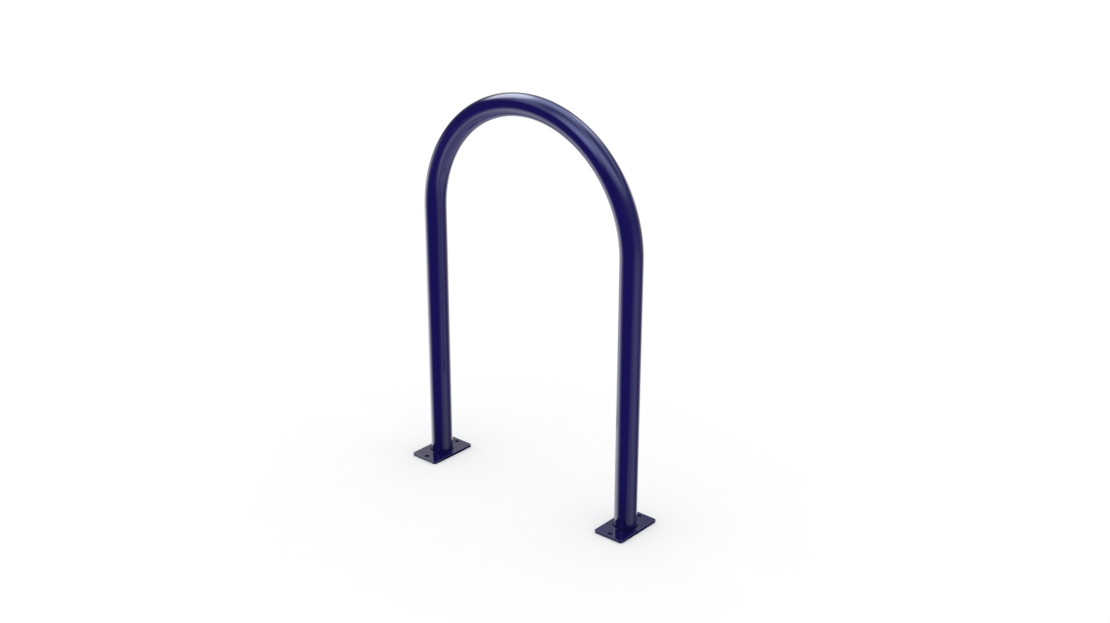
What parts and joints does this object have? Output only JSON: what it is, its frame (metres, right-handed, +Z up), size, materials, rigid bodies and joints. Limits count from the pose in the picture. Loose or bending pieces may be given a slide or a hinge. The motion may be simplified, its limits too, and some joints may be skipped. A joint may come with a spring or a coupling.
{
  "type": "hoop bike rack",
  "caption": "Inverted U of bent round tube welded to rectangular foot plates that bolt down to the ground, with a glossy navy powder coat.",
  "frame": {"origin": "on the ground, midway between the feet, under the top of the hoop", "axes": "+X along the hoop from its left foot to its right foot, +Y across the hoop, +Z up"},
  "size_m": [0.635, 0.127, 0.9208],
  "materials": {
    "tube_powder_coat": "gloss",
    "plate_powder_coat": "gloss",
    "weld_powder_coat": "gloss"
  },
  "bodies": {
    "root": {"hoop_tube": "tube_powder_coat", "left_foot_plate": "plate_powder_coat", "left_foot_weld": "weld_powder_coat", "right_foot_plate": "plate_powder_coat", "right_foot_weld": "weld_powder_coat"}
  },
  "joints": []
}
